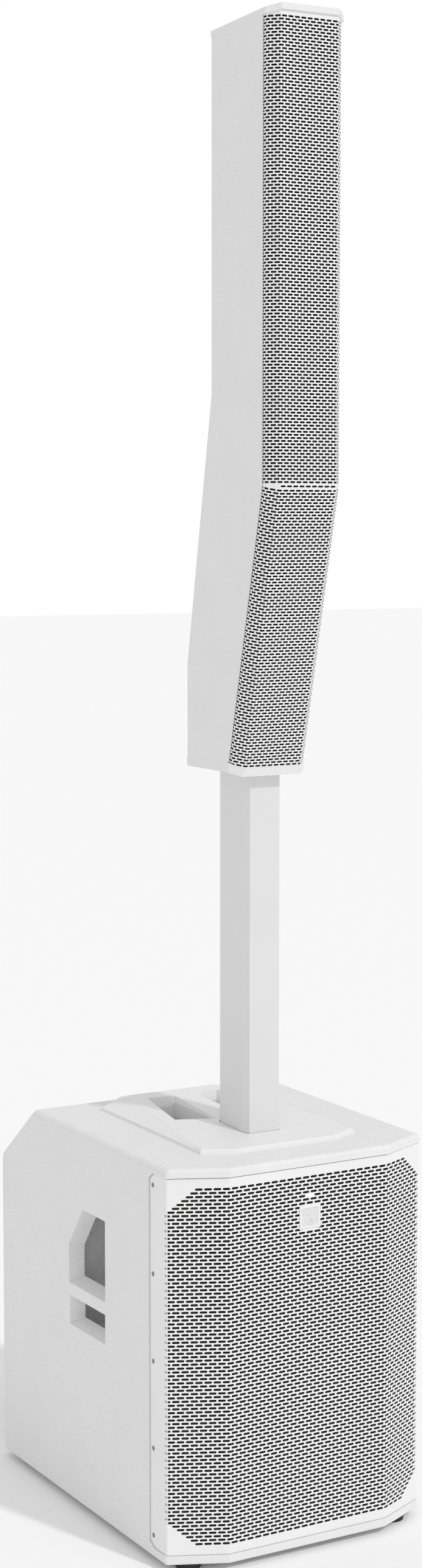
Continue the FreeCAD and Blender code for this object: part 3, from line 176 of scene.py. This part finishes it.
def wood_material():
    """Raw plywood."""
    made, tree, shader = new_material("plywood", (0.5, 0.36, 0.22), 0.75)
    grain = texture(tree, "ShaderNodeTexWave", 9, Distortion=6.0, Detail=3.0)
    vary_colour(tree, shader, grain.outputs["Fac"], (0.42, 0.29, 0.17), (0.58, 0.43, 0.27), 0, 1)
    bump(tree, shader, grain.outputs["Fac"], 0.05, 0.5)
    return made


def paper_material():
    """Pressed paper of a loudspeaker cone."""
    made, tree, shader = new_material("cone_paper", grey(0.03), 0.85)
    fibres = texture(tree, "ShaderNodeTexNoise", 0.7, Detail=6.0, Roughness=0.75)
    bump(tree, shader, fibres.outputs["Fac"], 0.08, 0.8)
    vary_colour(tree, shader, fibres.outputs["Fac"], grey(0.02), grey(0.05))
    return made


def glow_material():
    """Lit white lens."""
    made, tree, shader = new_material("lit_lens", (0.95, 0.97, 1.0), 0.25)
    shader.inputs["Emission Color"].default_value = (0.95, 0.98, 1.0, 1)
    shader.inputs["Emission Strength"].default_value = 0.35
    haze = texture(tree, "ShaderNodeTexNoise", 1.5, Detail=1.0)
    vary(tree, shader, "Roughness", haze.outputs["Fac"], 0.2, 0.35)
    return made


def display_material():
    """Dark display behind a glossy window."""
    made, tree, shader = new_material("display", (0.015, 0.018, 0.024), 0.06, coat=0.6)
    smudge = texture(tree, "ShaderNodeTexNoise", 12, Detail=3.0)
    vary(tree, shader, "Roughness", smudge.outputs["Fac"], 0.04, 0.14)
    return made


MATERIALS = {
    "cabinet_paint": textured_paint("cabinet_paint", 0.81, 1.6, 0.5, 0.55),
    "column_paint": textured_paint("column_paint", 0.81, 1.5, 0.45, 0.55),
    "grille_paint": smooth_paint("grille_paint", 0.84, 0.42),
    "white_plastic": smooth_paint("white_plastic", 0.82, 0.45, 0.8, 0.03),
    "pole_paint": smooth_paint("pole_paint", 0.73, 0.4, 0.5, 0.03),
    "foam": foam_material(),
    "black_steel": metal("black_steel", grey(0.03), 0.5),
    "screw_steel": metal("screw_steel", grey(0.28), 0.45),
    "wood_board": wood_material(),
    "black_plastic": dark_plastic("black_plastic", grey(0.022), 0.45),
    "rubber": dark_plastic("rubber", grey(0.018), 0.75, 0.8, 0.06),
    "paper_cone": paper_material(),
    "ferrite": dark_plastic("ferrite", grey(0.04), 0.6),
    "brass": metal("brass", (0.75, 0.55, 0.25), 0.25),
    "copper_coil": metal("copper_coil", (0.6, 0.28, 0.13), 0.35),
    "aluminium": metal("aluminium", (0.72, 0.72, 0.73), 0.35),
    "circuit_green": dark_plastic("circuit_green", (0.01, 0.09, 0.03), 0.4),
    "display_glass": display_material(),
    "status_light": glow_material(),
    "panel_paint": dark_plastic("panel_paint", grey(0.03), 0.55, 0.7, 0.05),
}


def finish(piece, slot):
    """Give a piece the material of one of the record's slots."""
    piece.data.materials.clear()
    piece.data.materials.append(MATERIALS[slot])


for part in frame["record"]["subparts"]:
    finish(nodes[part["node"]], part["material_slot"])

COARSE_TEXTURE = textured_paint("moulded_texture", 0.8, 2.0, 1.6, 0.6)
for name in ("handle_cup_left", "handle_cup_right"):
    nodes[name].data.materials.clear()
    nodes[name].data.materials.append(COARSE_TEXTURE)


# ---------------------------------------------------------------- mesh helpers

def mesh_piece(name, bm, slot, body, smooth_angle=None):
    """Turn a bmesh in row coordinates into a piece on a body."""
    bm.normal_update()
    data = bpy.data.meshes.new(name)
    bm.to_mesh(data)
    bm.free()
    made = bpy.data.objects.new(name, data)
    bpy.context.scene.collection.objects.link(made)
    if smooth_angle is not None:
        for face in data.polygons:
            face.use_smooth = True
        data.set_sharp_from_angle(angle=math.radians(smooth_angle))
    finish(made, slot)
    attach(made, body)
    return made


def thicken(piece, thickness):
    """Give a sheet its thickness, behind the faces drawn."""
    made = piece.modifiers.new("thickness", "SOLIDIFY")
    made.thickness = thickness
    made.offset = -1
    made.use_even_offset = True
    made.use_quality_normals = True


# ---------------------------------------------------------------- perforated grilles

# Straight edges that make up a slot's half-round end
ARC_STEPS = 4


class Sheet:
    """A perforated sheet, drawn flat as (along, up) and folded afterwards.

    Slots lie in rows like bricks: an even row has a slot at 0, an odd row is half a pitch aside.
    """

    def __init__(self, pitch, slot_length, slot_height, reach):
        self.pitch = pitch
        self.slot_length = slot_length
        self.slot_height = slot_height
        self.reach = reach
        self.bm = bmesh.new()
        self.known = {}

    def corner(self, u, v):
        """The vertex at a place on the flat sheet, shared by the faces that meet there."""
        key = (round(u * 1e6), round(v * 1e6))
        if key not in self.known:
            self.known[key] = self.bm.verts.new((u, 0, v))
        return self.known[key]

    def face(self, points):
        """A face through places on the flat sheet, in counter-clockwise order."""
        self.bm.faces.new([self.corner(u, v) for u, v in points])

    def plain_band(self, low, high):
        """A strip with no slots, divided at every half pitch."""
        step = self.pitch / 2
        count = math.ceil(self.reach / step) + 1
        for i in range(-count, count):
            left = i * step
            right = left + step
            self.face([(left, low), (right, low), (right, high), (left, high)])

    def row(self, middle, height, shift, has_slot):
        """One row of cells; has_slot says from a cell's middle whether it is punched."""
        count = math.ceil(self.reach / self.pitch) + 1
        for i in range(-count, count + 1):
            u = (i + shift / 2) * self.pitch
            if has_slot(u):
                self.punched_cell(u, middle, height)
            else:
                self.plain_cell(u, middle, height)

    def plain_cell(self, u, v, height):
        """A cell with no slot. Its long sides are divided where the next rows' cells meet."""
        half = self.pitch / 2
        low, high = v - height / 2, v + height / 2
        self.face([(u - half, low), (u, low), (u + half, low), (u + half, high), (u, high), (u - half, high)])

    def punched_cell(self, u, v, height):
        """A cell round one slot with round ends."""
        half = self.pitch / 2
        low, high = v - height / 2, v + height / 2
        radius = self.slot_height / 2
        centre = self.slot_length / 2 - radius
        arc = [math.radians(-90 + 180 * i / ARC_STEPS) for i in range(ARC_STEPS + 1)]
        right = [(u + centre + radius * math.cos(a), v + radius * math.sin(a)) for a in arc]
        left = [(u - centre - radius * math.cos(a), v + radius * math.sin(a)) for a in arc]
        self.face([(u - half, low), (u, low), (u + half, low), right[0], left[0]])
        self.face([(u + half, high), (u, high), (u - half, high), left[-1], right[-1]])
        self.face([(u + half, low), (u + half, high)] + right[::-1])
        self.face([(u - half, high), (u - half, low)] + left)

    def cut(self, point, normal, clear=False):
        """Divide the flat sheet along a line, and take away what lies on the normal's side if asked."""
        geometry = self.bm.verts[:] + self.bm.edges[:] + self.bm.faces[:]
        bmesh.ops.bisect_plane(self.bm, geom=geometry, dist=1e-7, plane_co=(point[0], 0, point[1]),
                               plane_no=(normal[0], 0, normal[1]), clear_outer=clear)

    def fold(self, place):
        """Move every vertex from the flat sheet to its place on the folded one."""
        for vertex in self.bm.verts:
            vertex.co = place(vertex.co.x, vertex.co.z)


class Section:
    """Half of a folded sheet's section as (across, depth) corners, with bends rounded off."""

    def __init__(self, corners, bend):
        self.corners = [Vector(c) for c in corners]
        self.bend = bend
        self.at = [0.0]
        for here, after in zip(self.corners, self.corners[1:]):
            self.at.append(self.at[-1] + (after - here).length)

    def straight(self, along):
        """Place on the sharp-cornered section at a distance from the middle."""
        i = next((k for k in range(1, len(self.at) - 1) if along < self.at[k]), len(self.at) - 1)
        share = (along - self.at[i - 1]) / (self.at[i] - self.at[i - 1])
        return self.corners[i - 1].lerp(self.corners[i], share)

    def place(self, along):
        """(across, depth) at a distance from the middle, which may be negative."""
        side = -1 if along < 0 else 1
        along = abs(along)
        point = self.straight(along)
        for at in self.at[1:-1]:
            if abs(along - at) < self.bend:
                share = (along - at + self.bend) / (2 * self.bend)
                before, after = self.straight(at - self.bend), self.straight(at + self.bend)
                middle = self.straight(at)
                point = before * (1 - share) ** 2 + middle * 2 * share * (1 - share) + after * share ** 2
        return point.x * side, point.y

    def bend_lines(self):
        """Distances from the middle at which the sheet is divided so that it can bend."""
        lines = [at + share * self.bend for at in self.at[1:-1] for share in (-1, 0, 1)]
        return [side * line for line in lines for side in (-1, 1)]


SUB_PITCH = 11.915 * MM
SUB_ROWS = 97
SUB_TOP_ROW = 507.2 * MM
SUB_ROW_PITCH = 4.898 * MM
SUB_FLAT = 121.2 * MM
SUB_FACET_DEPTH = 34.65 * MM
SUB_FIRST_REACH = 13.6 * SUB_PITCH
SUB_CUT_LOW = (13 * MM, 6.4 * MM)
SUB_CUT_HIGH = (10.6 * MM, 8.2 * MM)
SUB_BEND = 2.2 * MM
SUB_SLOT = (10.1 * MM, 3.2 * MM)
SUB_SHEET = 1.0 * MM
SUB_TOP_GAP = 0.6 * MM


def sub_grille():
    """Cabinet grille: a front, two angled corners and two side flanges, folded from one sheet."""
    low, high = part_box("sub_grille")
    section = Section([(0, 0), (SUB_FLAT, 0), (high.x, SUB_FACET_DEPTH), (high.x, high.y - low.y)], SUB_BEND)
    reach = section.at[-1]
    sheet = Sheet(SUB_PITCH, *SUB_SLOT, reach)
    badge_low, badge_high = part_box("badge_plate")
    for i in range(SUB_ROWS):
        z = SUB_TOP_ROW - i * SUB_ROW_PITCH
        from_end = min(i, SUB_ROWS - 1 - i)
        limit = min(SUB_FIRST_REACH + from_end * SUB_PITCH / 2, section.at[2] + 1 * MM)
        covered = SUB_PITCH if badge_low.z < z < badge_high.z else 0
        sheet.row(z, SUB_ROW_PITCH, (i + 1) % 2, lambda u: covered <= abs(u) < limit)
    top_edge = SUB_TOP_ROW + SUB_ROW_PITCH / 2
    low_edge = SUB_TOP_ROW - (SUB_ROWS - 0.5) * SUB_ROW_PITCH
    top = high.z - SUB_TOP_GAP
    sheet.plain_band(top_edge, top)
    sheet.plain_band(low.z, low_edge)
    for side in (-1, 1):
        sheet.cut((side * reach, 0), (side, 0), clear=True)
        for edge, (along, up), way in ((low.z, SUB_CUT_LOW, -1), (top, SUB_CUT_HIGH, 1)):
            sheet.cut((side * (reach - along), edge), (side * up, way * along), clear=True)
    for line in section.bend_lines():
        sheet.cut((line, 0), (1, 0))

    def place(u, v):
        across, depth = section.place(u)
        return across, low.y + depth, v
    sheet.fold(place)
    made = mesh_piece("cabinet_grille", sheet.bm, "grille_paint", "bass_cabinet")
    thicken(made, SUB_SHEET)
    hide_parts("sub_grille")


FOAM_GAP = 1.6 * MM
FOAM_INSET = 2 * MM
FOAM_THICKNESS = 5 * MM
FOAM_RETURN = 9 * MM
FOAM_BEND = 3 * MM


def sub_foam():
    """Foam sheet behind the cabinet grille, folded with it."""
    low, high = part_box("sub_grille")
    gap = FOAM_GAP
    inset = FOAM_INSET
    # The folds lie further in than the grille's, so that the gap stays about the same on the facets
    section = Section([(0, 0), (SUB_FLAT - gap * 0.3, 0), (high.x - gap, SUB_FACET_DEPTH - gap * 0.6),
                       (high.x - gap, SUB_FACET_DEPTH + FOAM_RETURN)], FOAM_BEND)
    reach = section.at[-1]
    bm = bmesh.new()
    columns = 64
    rows = 60
    grid = []
    for j in range(rows + 1):
        z = low.z + inset + (high.z - low.z - 2 * inset) * j / rows
        line = []
        for i in range(columns + 1):
            across, depth = section.place(reach * (2 * i / columns - 1))
            line.append(bm.verts.new((across, low.y + gap + depth, z)))
        grid.append(line)
    for lower, upper in zip(grid, grid[1:]):
        for i in range(columns):
            bm.faces.new((lower[i], lower[i + 1], upper[i + 1], upper[i]))
    made = mesh_piece("cabinet_grille_foam", bm, "foam", "bass_cabinet", 60)
    thicken(made, FOAM_THICKNESS)
    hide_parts("sub_grille_foam")


COLUMN_PITCH = 9.33 * MM
COLUMN_FLAT = 42.3 * MM
COLUMN_FACET_DEPTH = 13.4 * MM
KINK = 1401 * MM
LEAN = math.atan(0.2333)
UPPER_ROWS = 146
UPPER_TOP_ROW = 1981.0 * MM
UPPER_ROW_PITCH = 3.963 * MM
LOWER_ROWS = 93
LOWER_FIRST_ROW = 5.6 * MM
LOWER_ROW_PITCH = 3.985 * MM
COLUMN_BEND = 1.8 * MM
COLUMN_SLOT = (7.8 * MM, 2.55 * MM)
COLUMN_SHEET = 0.8 * MM
COLUMN_RETURN = 30 * MM
# No slots beyond this distance along the sheet from its middle, where the returns are out of sight
COLUMN_HIDDEN = COLUMN_FLAT + 31 * MM


def column_grille():
    """Column grille: an upright upper half and a leaning lower half, folded alike and joined at the kink."""
    low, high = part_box("column_grille")
    front = low.y

    def half(lean, rows, first, pitch, shift, end):
        """One half drawn flat with its kink at 0 and the rest below or above it, by the sign of pitch."""
        flatten = math.cos(lean)
        section = Section([(0, 0), (COLUMN_FLAT, 0), (high.x, COLUMN_FACET_DEPTH * flatten),
                           (high.x, COLUMN_RETURN * flatten)], COLUMN_BEND)
        reach = section.at[-1]
        sheet = Sheet(COLUMN_PITCH, *COLUMN_SLOT, reach)
        for i in range(rows):
            sheet.row(first + i * pitch, abs(pitch), (shift + i) % 2, lambda u: abs(u) < COLUMN_HIDDEN)
        way = math.copysign(1, pitch)
        tall = abs(pitch)
        last = first + (rows - 0.5) * pitch
        sheet.row(0, tall, 0, lambda u: abs(u) < COLUMN_FLAT - COLUMN_PITCH / 2)
        for a, b in ((way * tall / 2, first - pitch / 2), (last, end)):
            sheet.plain_band(min(a, b), max(a, b))
        for side in (-1, 1):
            sheet.cut((side * reach, 0), (side, 0), clear=True)
        for line in section.bend_lines():
            sheet.cut((line, 0), (1, 0))
        return sheet, section

    lowest_row = UPPER_TOP_ROW - (UPPER_ROWS - 1) * UPPER_ROW_PITCH - KINK
    upper, upper_section = half(0, UPPER_ROWS, lowest_row, UPPER_ROW_PITCH, 1, high.z - KINK)
    upper.cut((0, 0), (0, -1), clear=True)
    end = -(KINK - low.z) / math.cos(LEAN)
    lower, lower_section = half(LEAN, LOWER_ROWS, -LOWER_FIRST_ROW, -LOWER_ROW_PITCH, 1, end)

    def place_upper(u, v):
        across, back = upper_section.place(u)
        return across, front + back, KINK + v

    def place_lower(u, v):
        across, back = lower_section.place(u)
        return (across, front + back * math.cos(LEAN) - v * math.sin(LEAN),
                KINK + back * math.sin(LEAN) + v * math.cos(LEAN))

    upper.fold(place_upper)
    lower.fold(place_lower)
    everything = lower.bm.verts[:] + lower.bm.edges[:] + lower.bm.faces[:]
    bmesh.ops.bisect_plane(lower.bm, geom=everything, dist=1e-7, plane_co=(0, 0, KINK), plane_no=(0, 0, 1),
                           clear_outer=True)
    part = bpy.data.meshes.new("lower")
    lower.bm.to_mesh(part)
    lower.bm.free()
    upper.bm.from_mesh(part)
    bpy.data.meshes.remove(part)
    bmesh.ops.remove_doubles(upper.bm, verts=upper.bm.verts[:], dist=0.02 * MM)
    made = mesh_piece("column_slotted_grille", upper.bm, "grille_paint", "column")
    thicken(made, COLUMN_SHEET)
    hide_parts("column_grille")


# ---------------------------------------------------------------- badge, lens and screws

def ring_points(width, height, corner, steps=4):
    """A rounded rectangle about the middle, as (across, up) points."""
    points = []
    for turn, (sx, sz) in enumerate(((1, 1), (-1, 1), (-1, -1), (1, -1))):
        for i in range(steps + 1):
            angle = math.radians(90 * (turn + i / steps))
            points.append((sx * (width / 2 - corner) + corner * math.cos(angle),
                           sz * (height / 2 - corner) + corner * math.sin(angle)))
    return points


def stacked_rings(name, middle, rings, slot, body):
    """A closed piece from rings (width, height, corner, depth), the last one filled in at the front."""
    bm = bmesh.new()
    lines = []
    for width, height, corner, depth in rings:
        lines.append([bm.verts.new((middle.x + u, depth, middle.z + v)) for u, v in
                      ring_points(width, height, corner)])
    for back, ahead in zip(lines, lines[1:]):
        for i in range(len(back)):
            j = (i + 1) % len(back)
            bm.faces.new((back[i], back[j], ahead[j], ahead[i]))
    bm.faces.new(lines[0][::-1])
    bm.faces.new(lines[-1])
    bmesh.ops.recalc_face_normals(bm, faces=bm.faces[:])
    return mesh_piece(name, bm, slot, body, 35)


def badge():
    """Blank square badge: a bevelled frame round a sunk field."""
    low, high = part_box("badge_plate")
    middle = (low + high) / 2
    side = high.x - low.x
    back, front = high.y, low.y
    # How much narrower each ring is than the badge, its corner radius, and its depth
    steps = ((0, 1.0, back), (0, 1.0, back - 0.5 * MM), (5.0, 0.9, front + 0.1 * MM), (5.6, 0.9, front),
             (7.2, 0.7, front), (7.8, 0.6, front + 0.2 * MM), (8.6, 0.5, front + 0.9 * MM))
    rings = [(side - less * MM, side - less * MM, corner * MM, depth) for less, corner, depth in steps]
    made = stacked_rings("badge_frame", middle, rings, "white_plastic", "bass_cabinet")
    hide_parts("badge_plate")
    made.data.materials.append(COARSE_TEXTURE)
    # The sunk field is the last face of the stack
    made.data.polygons[-1].material_index = 1


# Row of slots, counted from the top row, that the lens stands in
LENS_ROW = 5


def lens():
    """Lit lens that fills one slot of the grille, with a shallow round-edged face."""
    low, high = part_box("status_lens")
    middle = (low + high) / 2
    middle.z = SUB_TOP_ROW - LENS_ROW * SUB_ROW_PITCH
    face = low.y
    # Width, height, corner radius and depth of each ring
    rings = [(9.9 * MM, 3.1 * MM, 1.54 * MM, high.y + 1 * MM),
             (9.9 * MM, 3.1 * MM, 1.54 * MM, face + 0.1 * MM),
             (9.3 * MM, 2.6 * MM, 1.29 * MM, face - 0.25 * MM),
             (6.5 * MM, 1.6 * MM, 0.79 * MM, face - 0.4 * MM)]
    made = stacked_rings("status_light_pipe", middle, rings, "status_light", "bass_cabinet")
    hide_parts("status_lens")


SCREW_HEIGHTS = [z * MM for z in (38.3, 155.7, 272.5, 388.7, 506.3)]
SCREW_DEPTH = -192.4 * MM


def flange_screws():
    """Ten screw heads on the grille's flanges, each a dished ring round a flat centre painted black as
    painted shade of the drive recess.
    """
    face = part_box("sub_grille")[1].x
    bm = bmesh.new()
    # Radius of each ring and how far it stands out from the flange, in millimetres
    profile = ((3.3, -0.6), (3.3, 0.1), (2.9, 0.45), (1.7, 0.3), (1.5, 0.1), (1.3, 0.06))
    turns = 20
    for side in (-1, 1):
        for z in SCREW_HEIGHTS:
            rings = []
            for radius, proud in profile:
                rings.append([bm.verts.new((side * (face + proud * MM),
                                            SCREW_DEPTH + radius * MM * math.cos(2 * math.pi * i / turns),
                                            z + radius * MM * math.sin(2 * math.pi * i / turns)))
                              for i in range(turns)])
            for back, ahead in zip(rings, rings[1:]):
                for i in range(turns):
                    j = (i + 1) % turns
                    bm.faces.new((back[i], back[j], ahead[j], ahead[i]))
            bm.faces.new(rings[0])
            # The flat centre disc gets the black material: painted shade standing in for the drive recess,
            # which is not cut.
            painted_recess_shade = bm.faces.new(rings[-1])
            painted_recess_shade.material_index = 1
    bmesh.ops.recalc_face_normals(bm, faces=bm.faces[:])
    made = mesh_piece("flange_screw_heads", bm, "screw_steel", "bass_cabinet", 40)
    # Black for the centre disc: painted shade of the drive recess.
    made.data.materials.append(MATERIALS["black_plastic"])
    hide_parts("grille_screws")


sub_grille()
sub_foam()
column_grille()
badge()
lens()
flange_screws()


# ---------------------------------------------------------------- camera, light and floor

SKY = 0.75
SUN = 1.0
SUN_SPREAD = math.radians(3)
SUN_WAY = (-0.3, 1.0, -1.0)
CAMERA_AT = (-1.7303, -3.0093, 1.3576)
CAMERA_WAY = (0.49623, 0.86207, -0.10291)
CAMERA_LENS = 58.39
CAMERA_SENSOR = 36
FLOOR_HALF = 30


def studio():
    """Camera, floor, sky and sun."""
    scene = bpy.context.scene
    scene.view_settings.view_transform = "Standard"
    eye = bpy.data.cameras.new("camera")
    eye.sensor_fit = "VERTICAL"
    eye.sensor_height = CAMERA_SENSOR
    eye.lens = CAMERA_LENS
    eye.clip_end = 100
    camera = bpy.data.objects.new("camera", eye)
    camera.location = CAMERA_AT
    camera.rotation_euler = Vector(CAMERA_WAY).to_track_quat("-Z", "Y").to_euler()
    scene.collection.objects.link(camera)
    scene.camera = camera

    bm = bmesh.new()
    bmesh.ops.create_grid(bm, x_segments=8, y_segments=8, size=FLOOR_HALF)
    data = bpy.data.meshes.new("floor")
    bm.to_mesh(data)
    bm.free()
    floor = bpy.data.objects.new("floor", data)
    scene.collection.objects.link(floor)
    data.materials.append(new_material("floor", grey(0.97), 0.9, specular=0.1)[0])

    world = bpy.data.worlds.new("studio")
    world.use_nodes = True
    tree = world.node_tree
    back = tree.nodes["Background"]
    back.inputs["Color"].default_value = (1, 1, 1, 1)
    path = tree.nodes.new("ShaderNodeLightPath")
    level = ramp(tree, path.outputs["Is Camera Ray"], SKY, 1.0)
    tree.links.new(level, back.inputs["Strength"])
    scene.world = world

    sun = bpy.data.lights.new("key", "SUN")
    sun.energy = SUN
    sun.angle = SUN_SPREAD
    lamp = bpy.data.objects.new("key", sun)
    lamp.rotation_euler = Vector(SUN_WAY).to_track_quat("-Z", "Y").to_euler()
    scene.collection.objects.link(lamp)


studio()
